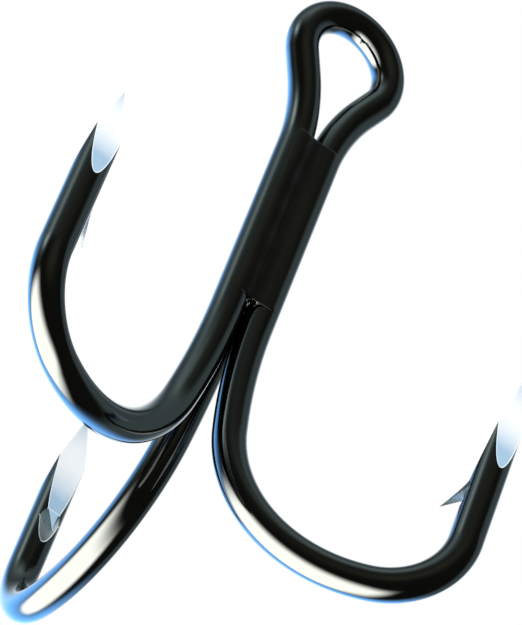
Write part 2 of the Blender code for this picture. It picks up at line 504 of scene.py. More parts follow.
class Route:
    """A wire's centreline, followed like a path, with the wire's section carried along it."""

    def __init__(self, start: Vector, heading: Vector, normal: Vector) -> None:
        """Start at a place.

        Args:
            start: the first place on the centreline.
            heading: the way the wire runs there.
            normal: the direction that the section's first axis points.
        """
        self.place = start.copy()
        self.heading = heading.copy()
        self.normal = normal.copy()
        self.run = 0.0
        self.stations: list[Station] = []
        self._mark()

    def _mark(self) -> None:
        """Record the present station."""
        second = self.heading.cross(self.normal)
        self.stations.append((self.place.copy(), self.normal.copy(), second, self.run))

    def straight(self, length: float, steps: int) -> "Route":
        """Run straight ahead, in equal steps."""
        for _ in range(steps):
            self.place += self.heading * (length / steps)
            self.run += length / steps
            self._mark()
        return self

    def arc(self, radius: float, angle: float, hinge: Vector, step: float) -> "Route":
        """Turn about a hinge direction along an arc.

        Args:
            radius: the centreline's radius.
            angle: how far to turn.
            hinge: the axis that the heading turns about.
            step: the largest turn between two stations.

        Returns:
            This route.
        """
        steps = math.ceil(angle / step - 1e-6)
        middle = self.place + hinge.cross(self.heading) * radius
        turn = Matrix.Rotation(angle / steps, 3, hinge)
        for _ in range(steps):
            self.heading = (turn @ self.heading).normalized()
            self.normal = (turn @ self.normal).normalized()
            self.place = middle - hinge.cross(self.heading) * radius
            self.run += radius * angle / steps
            self._mark()
        return self


class Face(IntEnum):
    """The kinds of surface on a finished wire, in the order of its material slots."""

    PLATE = 0
    GROUND = 1
    RIM = 2
    CUT = 3
    BARB_SIDE = 4


@dataclass
class PointAndBarb:
    """The end of a hook: ground point, barb and the cut under it.

    It is worked in millimetres in the leg's own frame: X away from the shank, Z up the leg, and the
    origin at the point.
    """

    sides: int = 96
    radius_mm: float = 1.479
    leg_mm: float = 17.9
    stock_mm: float = 1.2
    flats: tuple[tuple[float, float], ...] = ((60.0, 10.7), (300.0, 10.7), (180.0, 13.6))
    wheel_radius_mm: float = 1.5      # the wire's full radius, which the flats' lengths go with
    rim_mm: float = 0.085
    rim_drop_mm: float = 0.012
    root_mm: float = 12.0             # point to the crease of the barb
    barb_long_mm: float = 3.3
    barb_high_mm: float = 1.5
    notch_deep_mm: float = 0.4
    notch_mouth_mm: float = 0.95
    notch_runout_mm: float = 0.3
    skin_mm: float = 0.02             # how far the barb's foot is buried
    curl_mm: float = 0.45             # how far the barb's top follows the flat before it lifts
    chip_corners: int = 9             # round each half of the barb's foot
    chip_rows: int = 12               # from its foot to its tip
    rimmed: tuple[tuple[Face, float], ...] = ((Face.GROUND, 3.0), (Face.CUT, 0.8))  # least area, mm2
    foot_slack_mm: float = 0.001
    edge_turn: float = math.radians(30)
    slots: list[bpy.types.Material] = field(default_factory=list)

    def tube(self) -> bmesh.types.BMesh:
        """Draw the straight leg.

        Returns:
            The leg, closed at both ends.
        """
        bm = bmesh.new()
        rings = []
        for height in (-self.leg_mm, self.stock_mm):
            ring = []
            for i in range(self.sides):
                turn = math.tau * i / self.sides
                ring.append(bm.verts.new((
                    self.radius_mm * math.cos(turn), self.radius_mm * math.sin(turn), height)))
            rings.append(ring)
        low, high = rings
        join_rings(bm, low, high)
        bm.faces.new(list(reversed(low)))
        bm.faces.new(high)
        return bm

    def grind(self, bm: bmesh.types.BMesh) -> None:
        """Grind the three flats that meet at the point."""
        for turn, length in self.flats:
            slope = math.atan2(self.wheel_radius_mm, length)
            around = math.radians(turn)
            normal = Vector((
                math.cos(around) * math.cos(slope), math.sin(around) * math.cos(slope), math.sin(slope)))
            everything = bm.verts[:] + bm.edges[:] + bm.faces[:]
            cut = bmesh.ops.bisect_plane(
                bm, geom=everything, dist=1e-5, plane_co=(0, 0, 0), plane_no=normal, clear_outer=True)
            edges = [e for e in cut["geom_cut"] if isinstance(e, bmesh.types.BMEdge)]
            for made in bmesh.ops.contextual_create(bm, geom=edges)["faces"]:
                made.material_index = Face.GROUND

    def barb_tip(self) -> Vector:
        """Return the sharp end of the barb."""
        return Vector((-self.radius_mm - self.barb_high_mm, 0, -self.root_mm - self.barb_long_mm))

    def notch(self) -> bmesh.types.BMesh:
        """Shape what the barb's cutter takes out.

        Returns:
            The wedge.
        """
        tip = self.barb_tip()
        floor = -(self.radius_mm - self.notch_deep_mm)
        mouth = -self.root_mm - self.notch_mouth_mm
        low = tip.z - self.notch_runout_mm
        slope = (low - mouth) / (-self.radius_mm - floor)
        outline = (
            (floor, mouth + self.skin_mm),
            (tip.x, mouth + slope * (tip.x - floor)),
            (tip.x, tip.z + self.skin_mm),
        )
        bm = bmesh.new()
        half = 2 * self.radius_mm
        near = [bm.verts.new((x, -half, z)) for x, z in outline]
        far = [bm.verts.new((x, half, z)) for x, z in outline]
        bm.faces.new(near)
        bm.faces.new(list(reversed(far)))
        for i in range(len(outline)):
            after = (i + 1) % len(outline)
            bm.faces.new((near[i], far[i], far[after], near[after]))
        for made in bm.faces:
            made.material_index = Face.CUT
        bmesh.ops.recalc_face_normals(bm, faces=bm.faces)
        return bm

    def chip(self) -> bmesh.types.BMesh:
        """Raise the barb, a chip that curls away from the leg to a sharp tip.

        Returns:
            The chip, with its foot buried in the leg.
        """
        tip = self.barb_tip()
        inner = self.radius_mm - self.skin_mm
        flat_length = self.flats[2][1]
        crease = self.wheel_radius_mm * self.root_mm / flat_length
        top_half = math.acos(min(1.0, crease / self.radius_mm))
        cut_half = math.acos((self.radius_mm - self.notch_deep_mm) / self.radius_mm)
        corners = self.chip_corners
        root = []
        for i in range(corners):
            share = i / (corners - 1)
            around = top_half + (cut_half - top_half) * share
            height = -self.root_mm - self.notch_mouth_mm * share ** 2
            root.append(Vector((-inner * math.cos(around), inner * math.sin(around), height)))
        lead = self.curl_mm
        control = Vector((root[0].x - lead * self.wheel_radius_mm / flat_length, 0, root[0].z - lead))
        start = Vector((root[0].x, 0, root[0].z))
        curl = 2 * control - start - tip
        bm = bmesh.new()
        sections = []
        for row in range(self.chip_rows):
            t = row / self.chip_rows
            loop = []
            for sign in (1, -1):
                half = []
                for i, foot in enumerate(root):
                    share = i / (corners - 1)
                    point = foot.lerp(tip, t) + curl * (t * (1 - t) * (1 - share))
                    half.append(bm.verts.new((point.x, sign * point.y, point.z)))
                loop += half if sign == 1 else list(reversed(half))
            sections.append(loop)
        count = len(sections[0])
        apex = bm.verts.new(tip)
        heart = bm.verts.new((-0.2 * self.radius_mm, 0, -self.root_mm - 0.3))   # deep in the leg
        for i in range(count):
            after = (i + 1) % count
            if i == corners - 1:
                kind = Face.CUT
            elif i == count - 1:
                kind = Face.GROUND
            else:
                kind = Face.BARB_SIDE
            for low, high in zip(sections, sections[1:]):
                bm.faces.new((low[i], low[after], high[after], high[i])).material_index = kind
            bm.faces.new((sections[-1][i], sections[-1][after], apex)).material_index = kind
            bm.faces.new((sections[0][after], sections[0][i], heart)).material_index = kind
        bmesh.ops.recalc_face_normals(bm, faces=bm.faces)
        return bm

    def _part(self, name: str, bm: bmesh.types.BMesh) -> bpy.types.Object:
        """Turn a bmesh into a workpiece for a Boolean.

        Args:
            name: what to call it.
            bm: its shape, which is used up.

        Returns:
            The workpiece.
        """
        mesh = bpy.data.meshes.new(name)
        bm.to_mesh(mesh)
        bm.free()
        for material in self.slots:
            mesh.materials.append(material)
        return in_scene(name, mesh)

    def at_foot(self, vert: bmesh.types.BMVert) -> bool:
        """Return whether a vertex is on the leg's open foot."""
        return vert.co.z < -self.leg_mm + self.foot_slack_mm

    def rim(self, bm: bmesh.types.BMesh) -> None:
        """Break the edge of each flat and of the notch's floor with a narrow sloping rim, whose near-white
        finish is a painted highlight.
        """
        for kind, smallest in self.rimmed:
            flats = [f for f in bm.faces if f.material_index == kind and f.calc_area() > smallest]
            for flat in flats:
                made = bmesh.ops.inset_individual(
                    bm, faces=[flat], thickness=self.rim_mm, depth=-self.rim_drop_mm, use_even_offset=True)
                for face in made["faces"]:
                    face.material_index = Face.RIM

    def make(self) -> bmesh.types.BMesh:
        """Grind the point, raise the barb and break the edges.

        Returns:
            The finished end, open at the foot of the leg, in millimetres.
        """
        bm = self.tube()
        self.grind(bm)
        bmesh.ops.recalc_face_normals(bm, faces=bm.faces)
        leg = self._part("leg", bm)
        tools = [self._part("notch", self.notch()), self._part("chip", self.chip())]
        for tool, operation in zip(tools, ("DIFFERENCE", "UNION")):
            modifier = leg.modifiers.new(tool.name, "BOOLEAN")
            modifier.operation = operation
            modifier.solver = "EXACT"
            modifier.object = tool
        bpy.context.view_layer.update()
        evaluated = leg.evaluated_get(bpy.context.evaluated_depsgraph_get())
        bm = bmesh.new()
        bm.from_mesh(evaluated.to_mesh())
        for obj in [leg] + tools:
            bpy.data.objects.remove(obj, do_unlink=True)
        self.rim(bm)
        foot = [f for f in bm.faces if all(self.at_foot(v) for v in f.verts)]
        bmesh.ops.delete(bm, geom=foot, context="FACES_ONLY")
        return bm


class Skin:
    """The surface of a wire as it grows: its vertices, what each one carries, and its faces."""

    def __init__(self) -> None:
        """Start with nothing."""
        self.verts: list[Vector] = []
        self.normals: list[Vector] = []
        self.places: list[Vector] = []
        self.tips: list[float] = []
        self.faces: list[tuple[int, ...]] = []
        self.kinds: list[int] = []

    def vert(self, spot: Vector, normal: Vector, place: Vector, tip: float = FAR_FROM_TIP) -> int:
        """Add a vertex.

        Args:
            spot: where it is.
            normal: the way out of the wire there.
            place: its two offsets from the wire's middle, and the run along it.
            tip: how far below the hook's point it lies.

        Returns:
            Its number.
        """
        self.verts.append(spot)
        self.normals.append(normal)
        self.places.append(place)
        self.tips.append(tip)
        return len(self.verts) - 1

    def face(self, corners: Sequence[int], kind: int) -> None:
        """Add a face."""
        self.faces.append(tuple(corners))
        self.kinds.append(kind)

    def band(self, low: Sequence[int], high: Sequence[int], kind: Face) -> None:
        """Join two rings of vertices with a band of faces."""
        for i in range(len(low)):
            after = (i + 1) % len(low)
            self.face((low[i], low[after], high[after], high[i]), kind)


@dataclass
class HookWire:
    """One bent wire with its ground points, as a single closed mesh."""

    name: str
    node: str
    route: Route
    point: PointAndBarb
    legs: tuple[tuple[Azimuth, bool], ...]  # each leg, and whether it is at the route's start
    tip_rho: float
    tip_height: float
    joint: JointSizes
    chamfer: float = 0.09 * MM
    end_rings: tuple[tuple[float, float], ...] = ((1.0, 1.0), (0.55, 0.8))  # shares: radius, height

    def leg_frame(self, side: Azimuth) -> Matrix:
        """Return the frame of a leg: X away from the shank, Z up, origin at the point."""
        place = self.joint.middle(self.tip_height) + side.outward() * self.tip_rho
        return Matrix.Translation(place) @ Matrix.Rotation(math.radians(side.value), 4, "Z")

    def build(self, materials: Sequence[bpy.types.Material]) -> bpy.types.Object:
        """Sweep the wire, set its points on, and give it its normals and attributes.

        Args:
            materials: one material for each kind of face, in the order of Face.

        Returns:
            The finished wire.
        """
        skin = Skin()
        rings = [self._ring(skin, station, 1.0) for station in self.route.stations]
        for low, high in zip(rings, rings[1:]):
            skin.band(low, high, Face.PLATE)
        for side, at_start in self.legs:
            self._set_point(skin, side, at_start, rings[0 if at_start else -1])
        if len(self.legs) == 1:
            self._close_end(skin, rings[0])
        mesh = bpy.data.meshes.new(self.name)
        mesh.from_pydata(skin.verts, [], skin.faces)
        mesh.polygons.foreach_set("material_index", skin.kinds)
        for material in materials:
            mesh.materials.append(material)
        self._outward(mesh)
        self._mark_edges(mesh)
        self._store(mesh, PLACE, "FLOAT_VECTOR", "vector", skin.places)
        self._store(mesh, TIP_DISTANCE, "FLOAT", "value", skin.tips)
        self._set_normals(mesh, skin.normals)
        return in_scene(self.name, mesh)

    def _ring(self, skin: Skin, station: Station, size: float) -> list[int]:
        """Add a ring of vertices round the wire at a station.

        Args:
            skin: the surface to add to.
            station: where the ring goes.
            size: its radius, as a share of the wire's.

        Returns:
            The numbers of its vertices.
        """
        centre, first, second, run = station
        radius = self.joint.wire_radius * size
        ring = []
        for i in range(self.point.sides):
            turn = math.tau * i / self.point.sides
            out = first * math.cos(turn) + second * math.sin(turn)
            place = Vector((radius * math.cos(turn), radius * math.sin(turn), run))
            ring.append(skin.vert(centre + out * radius, out, place))
        return ring

    def _set_point(self, skin: Skin, side: Azimuth, at_start: bool, ring: Sequence[int]) -> None:
        """Weld a ground point to the ring where its leg begins.

        Args:
            skin: the surface to add to.
            side: the hook that the point is for.
            at_start: whether its leg is at the route's start.
            ring: the numbers of that ring's vertices.
        """
        centre, first, second, run = self.route.stations[0 if at_start else -1]
        onward = -1.0 if at_start else 1.0
        frame = self.leg_frame(side)
        bm = self.point.make()
        number: dict[int, int] = {}
        for vert in bm.verts:
            world = frame @ (vert.co * MM)
            if self.point.at_foot(vert):
                number[vert.index] = min(ring, key=lambda i: (skin.verts[i] - world).length)
                continue
            offset = world - centre
            rise = offset.dot(UP)
            out = offset - UP * rise
            normal = out.normalized() if out.length > 0 else UP
            place = Vector((offset.dot(first), offset.dot(second), run + onward * rise))
            number[vert.index] = skin.vert(world, normal, place, -vert.co.z * MM)
        for face in bm.faces:
            skin.face([number[v.index] for v in face.verts], face.material_index)
        bm.free()

    def _close_end(self, skin: Skin, ring: Sequence[int]) -> None:
        """Close the free end above the joint with a chamfered, slightly dished face.

        Args:
            skin: the surface to add to.
            ring: the numbers of the last ring's vertices.
        """
        centre, first, second, run = self.route.stations[0]
        inner = 1 - self.chamfer / self.joint.wire_radius
        for share, rise in self.end_rings:
            raised = (centre + UP * self.chamfer * rise, first, second, run)
            fresh = self._ring(skin, raised, inner * share)
            skin.band(ring, fresh, Face.BARB_SIDE)
            ring = fresh
        skin.face(ring, Face.BARB_SIDE)

    def _outward(self, mesh: bpy.types.Mesh) -> None:
        """Turn every face outward."""
        bm = bmesh.new()
        bm.from_mesh(mesh)
        bmesh.ops.recalc_face_normals(bm, faces=bm.faces)
        if bm.calc_volume(signed=True) < 0:
            bmesh.ops.reverse_faces(bm, faces=bm.faces)
        bm.to_mesh(mesh)
        bm.free()

    def _mark_edges(self, mesh: bpy.types.Mesh) -> None:
        """Keep an edge sharp where two kinds of surface meet, and where it turns far."""
        bm = bmesh.new()
        bm.from_mesh(mesh)
        for face in bm.faces:
            face.smooth = face.material_index in (Face.PLATE, Face.BARB_SIDE, Face.GROUND)
        for edge in bm.edges:
            kinds = {f.material_index for f in edge.link_faces}
            turned = edge.is_manifold and edge.calc_face_angle(0.0) > self.point.edge_turn
            edge.smooth = len(kinds) == 1 and not turned
        bm.to_mesh(mesh)
        bm.free()

    def _store(self, mesh: bpy.types.Mesh, name: str, kind: str, item: str, values: list) -> None:
        """Store one number or vector on each vertex."""
        made = mesh.attributes.new(name, kind, "POINT")
        made.data.foreach_set(item, np.array(values, np.float32).ravel())

    def _set_normals(self, mesh: bpy.types.Mesh, normals: Sequence[Vector]) -> None:
        """Give the round wire its true normals, and leave every other surface its own."""
        loops = np.zeros((len(mesh.loops), 3), np.float32)
        for polygon in mesh.polygons:
            if polygon.material_index == Face.PLATE:
                for i in polygon.loop_indices:
                    loops[i] = normals[mesh.loops[i].vertex_index]
        mesh.normals_split_custom_set([tuple(n) for n in loops])


@dataclass
class TrebleWires:
    """The long wire, with the eye and two hooks, and the short wire, with the third hook."""

    joint: JointSizes
    finishes: dict[str, bpy.types.Material]
    neck_lead: float = 1.0 * MM
    neck_radius: float = 19.0 * MM
    loop_radius: float = 4.55 * MM
    throat_lead: float = 1.0 * MM
    throat: tuple[float, float] = (55.6 * MM, math.radians(12))
    bend: tuple[float, float] = (13.9 * MM, math.radians(84))
    front_radius: float = 7.0 * MM
    leg: float = 17.9 * MM
    tang: float = 0.4 * MM
    bend_step: float = math.radians(1.75)
    wide_share: float = 0.6       # of that step, on an arc more than twice the bend's radius
    neck_share: float = 0.7       # of that step, on the necks below the eye
    loop_step: float = math.radians(1.25)

    def arcs(self) -> tuple[tuple[float, float], ...]:
        """Return the hook's three arcs from the shank to the leg, as (radius, angle)."""
        rest = math.pi - self.throat[1] - self.bend[1]
        return (self.throat, self.bend, (self.front_radius, rest))

    def tip(self) -> tuple[float, float]:
        """Return the point's distance from the joint's middle, and its height."""
        rho = self.joint.circle
        height = self.joint.bottom - self.throat_lead
        turn = 0.0
        for radius, angle in self.arcs():
            rho += radius * (math.cos(turn) - math.cos(turn + angle))
            height -= radius * (math.sin(turn + angle) - math.sin(turn))
            turn += angle
        return rho, height + self.leg

    def steps(self, radius: float) -> float:
        """Return the turn between two stations on an arc: fine on tight arcs, finer on wide ones."""
        return self.bend_step if radius < 2 * self.bend[0] else self.bend_step * self.wide_share

    def hook_down(self, route: Route, side: Azimuth) -> Route:
        """Follow a hook from the shank's foot to the foot of its leg."""
        hinge = side.outward().cross(UP)
        for radius, angle in self.arcs():
            route.arc(radius, angle, hinge, self.steps(radius))
        return route

    def long_route(self) -> Route:
        """Lay out the long wire: right leg, shank, eye, shank, left leg.

        Returns:
            Its route.
        """
        rho, height = self.tip()
        side = Azimuth.RIGHT
        start = self.joint.middle(height - self.leg) + side.outward() * rho
        route = Route(start, -UP, side.outward())
        for radius, angle in reversed(self.arcs()):
            route.arc(radius, angle, UP.cross(side.outward()), self.steps(radius))
        neck_bottom = self.joint.top - self.neck_lead
        shank = neck_bottom - (self.joint.bottom - self.throat_lead)
        route.straight(shank, 8)
        across = self.joint.pitch / 2 + self.neck_radius
        reach = math.hypot(across, neck_bottom)
        lean = math.atan2(-neck_bottom, across) - math.acos((self.loop_radius + self.neck_radius) / reach)
        run = math.sqrt(reach ** 2 - (self.loop_radius + self.neck_radius) ** 2)
        hinge = Vector((0, 1, 0))
        route.arc(self.neck_radius, lean, hinge, self.bend_step * self.neck_share)
        route.straight(run, 2)
        route.arc(self.loop_radius, math.pi + 2 * lean, -hinge, self.loop_step)
        route.straight(run, 2)
        route.arc(self.neck_radius, lean, hinge, self.bend_step * self.neck_share)
        route.straight(shank, 8)
        return self.hook_down(route, Azimuth.LEFT)

    def short_route(self, chamfer: float) -> Route:
        """Return the short wire's route: from its end above the joint to the rear leg."""
        top = self.joint.top + self.tang - chamfer
        side = Azimuth.REAR
        route = Route(self.joint.shank(side, top), -UP, side.outward())
        route.straight(top - (self.joint.bottom - self.throat_lead), 9)
        return self.hook_down(route, side)

    def build(self) -> list[bpy.types.Object]:
        """Make both wires and put them on the frame.

        Returns:
            The wires.
        """
        rho, height = self.tip()
        made = []
        for name, node, ground, route, legs in (
            ("long_wire", "double_hook_wire", "ground", self.long_route(),
             ((Azimuth.RIGHT, True), (Azimuth.LEFT, False))),
            ("short_wire", "single_hook_wire", "rear_ground_highlighted", self.short_route(HookWire.chamfer),
             ((Azimuth.REAR, False),)),
        ):
            slots = [self.finishes[k] for k in ("plate", ground, "rim", "cut", "barb")]
            point = PointAndBarb(radius_mm=self.joint.wire_radius / MM, leg_mm=self.leg / MM, slots=slots)
            wire = HookWire(name, node, route, point, legs, rho, height, self.joint)
            piece = wire.build(slots)
            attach(piece, "root")
            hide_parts(node)
            log.info("%s: %d faces", name, len(piece.data.polygons))
            made.append(piece)
        return made


Wave = tuple[float, float, float]   # a ripple's frequency, phase and strength


@dataclass
class GrooveBraze:
    """The alloy that fills one groove between two shanks."""

    name: str
    node: str
    first: Azimuth
    second: Azimuth
    joint: JointSizes
    seed: int
    over: float = math.radians(27)    # how far past each crest the alloy reaches
    proud: float = 0.05 * MM          # above the wire at its crest
    valley: float = 0.17 * MM         # dip between the two crests
    bury: float = 0.03 * MM           # how far its back lies inside the wire
    feather: float = 0.006 * MM       # how far its thin edge dips into the wire
    edge: float = 0.10 * MM           # length of the rounded end
    ripple: float = 0.07 * MM
    swell: float = 0.018 * MM         # how far its outer face rises and falls
    swell_length: float = 2.2 * MM
    end_dish: float = 0.35 * MM
    end_wobble: float = 0.03 * MM
    across_steps: int = 44
    back_steps: int = 14
    long_steps: int = 60
    edge_turn: float = math.radians(38)

    def frame(self) -> tuple[Vector, Vector, Vector]:
        """Return the groove's middle, the direction from shank to shank, and the way out."""
        a = self.joint.shank(self.first, 0.0)
        b = self.joint.shank(self.second, 0.0)
        across = (b - a).normalized()
        return (a + b) / 2, across, across.cross(UP)

    def front(self, share: float, lift: float) -> tuple[float, float]:
        """Return a place on the alloy's outer face.

        Args:
            share: -1 at the first edge, 1 at the last.
            lift: how much of its height above the wire the alloy has here, from 0 to 1.

        Returns:
            The place across the groove and the height out of it.
        """
        radius = self.joint.wire_radius
        crest = self.joint.pitch / 2
        widest = crest + radius * math.sin(self.over)
        across = share * widest
        if abs(across) > crest:
            past = (abs(across) - crest) / (widest - crest)
            wire = math.sqrt(radius ** 2 - (abs(across) - crest) ** 2)
            height = wire + self.proud * lift * (1 - past ** 2) - self.feather * past ** 2
        else:
            dip = self.valley * (1 + math.cos(math.pi * across / crest)) / 2
            height = radius + self.proud * lift - dip
        return across, height

    def back(self) -> list[tuple[float, float]]:
        """Return the places on the alloy's hidden back, from its last edge to its first."""
        radius = self.joint.wire_radius - self.bury
        crest = self.joint.pitch / 2
        half = []
        for i in range(self.back_steps + 1):
            turn = math.pi / 2 - self.over + (math.pi / 2 + self.over) * i / self.back_steps
            half.append((crest + radius * math.cos(turn), radius * math.sin(turn)))
        return half + [(-u, v) for u, v in reversed(half)]

    def build(self, material: bpy.types.Material) -> bpy.types.Object:
        """Loft the alloy down the groove and close its ends.

        Args:
            material: its finish.

        Returns:
            The finished alloy.
        """
        rng = np.random.default_rng(self.seed)
        waves = [(rng.uniform(0.5, 4.5), rng.uniform(0, math.tau), rng.uniform(0.3, 1.0)) for _ in range(10)]
        length = self.joint.top - self.joint.bottom
        heights = [0.0, 0.02 * MM, 0.05 * MM, self.edge]   # close together on the rounded ends
        heights += list(np.linspace(self.edge, length - self.edge, self.long_steps)[1:-1])
        heights += [length - self.edge, length - 0.05 * MM, length - 0.02 * MM, length]
        back = self.back()
        rows = []
        for z in heights:
            end = min(z, length - z)
            lift = math.sqrt(max(0.0, 1 - (1 - min(1.0, end / self.edge)) ** 2))
            row = []
            for i in range(self.across_steps + 1):
                share = -1 + 2 * i / self.across_steps
                u, v = self.front(share, lift)
                sway = sum(s * math.sin(f * share * 3 + p) for f, p, s in waves[:5]) / 5
                swell = sum(s * math.sin(f * z / self.swell_length + p) for f, p, s in waves[5:]) / 5
                inward = 1 - abs(share) ** 4
                v += self.swell * swell * inward
                shift = self.ripple * sway * (1 - 2 * z / length)
                row.append(self._point(u, v, self.joint.bottom + z + shift))
            for u, v in back[1:-1]:
                row.append(self._point(u, v, self.joint.bottom + z))
            rows.append(row)
        return self._mesh(rows, waves[:4], material)

    def _point(self, u: float, v: float, height: float) -> Vector:
        """Return the place that is u across the groove, v out of it and at this height."""
        middle, across_axis, out_axis = self.frame()
        return middle + across_axis * u + out_axis * v + UP * height

    def _mesh(self, rows: list[list[Vector]], waves: Sequence[Wave],
              material: bpy.types.Material) -> bpy.types.Object:
        """Skin the rows and close both ends with rippled hollow faces.

        Args:
            rows: the rings of places up the alloy.
            waves: the ripples in its ends.
            material: its finish.

        Returns:
            The finished alloy.
        """
        bm = bmesh.new()
        loops = [[bm.verts.new(p) for p in row] for row in rows]
        count = len(loops[0])
        for low, high in zip(loops, loops[1:]):
            join_rings(bm, low, high)
        for loop, inward in ((loops[0], 1.0), (loops[-1], -1.0)):
            heart = sum((v.co for v in loop), Vector()) / count
            ring = loop
            for step, share in enumerate((0.8, 0.6, 0.4, 0.2)):
                fresh = []
                for i, vert in enumerate(loop):
                    place = heart.lerp(vert.co, share)
                    turn = 2 * math.tau * i / count
                    wobble = sum(s * math.sin(f * turn + p + step) for f, p, s in waves)
                    dish = self.end_dish * (1 - share ** 2) + self.end_wobble * wobble * share
                    place.z += inward * dish
                    fresh.append(bm.verts.new(place))
                join_rings(bm, ring, fresh)
                ring = fresh
            bm.faces.new(ring)
        bmesh.ops.recalc_face_normals(bm, faces=bm.faces)
        for face in bm.faces:
            face.smooth = True
        for edge in bm.edges:
            edge.smooth = not (edge.is_manifold and edge.calc_face_angle(0.0) > self.edge_turn)
        mesh = bpy.data.meshes.new(self.name)
        bm.to_mesh(mesh)
        bm.free()
        mesh.materials.append(material)
        made = mesh.attributes.new(PLACE, "FLOAT_VECTOR", "POINT")
        middle = self.frame()[0]
        places = [tuple(v.co - middle) for v in mesh.vertices]
        made.data.foreach_set("vector", np.array(places, np.float32).ravel())
        return in_scene(self.name, mesh)


@dataclass
class BrazedJoint:
    """The alloy that holds the three shanks together."""

    joint: JointSizes
    finishes: dict[str, bpy.types.Material]
    nodes: dict[str, bpy.types.Object]

    def build(self) -> list[bpy.types.Object]:
        """Make the three fillets and dress the core.

        Returns:
            The fillets.
        """
        grooves = (
            GrooveBraze("front_braze", "braze_fillet_front", Azimuth.LEFT, Azimuth.RIGHT, self.joint, 11),
            GrooveBraze("right_braze", "braze_fillet_right", Azimuth.RIGHT, Azimuth.REAR, self.joint, 23,
                        over=math.radians(-8), valley=0.46 * MM),
            GrooveBraze("left_braze", "braze_fillet_left", Azimuth.REAR, Azimuth.LEFT, self.joint, 37,
                        over=math.radians(-8), valley=0.42 * MM),
        )
        made = []
        for groove in grooves:
            piece = groove.build(self.finishes["braze"])
            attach(piece, "root")
            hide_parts(groove.node)
            log.info("%s: %d faces", piece.name, len(piece.data.polygons))
            made.append(piece)
        core = self.nodes["braze_core"]
        core.data.materials.clear()
        core.data.materials.append(self.finishes["core"])
        log.info("braze_core: carried over with bare alloy")
        return made


# --- Studio


@dataclass(frozen=True)
class Patch:
    """A soft round patch of light in the surroundings."""

    spread: float    # degrees from the direction of the camera
    bearing: float   # degrees round that direction, 0 at the right and 90 at the top
    width: float     # its half width in degrees
    colour: Colour


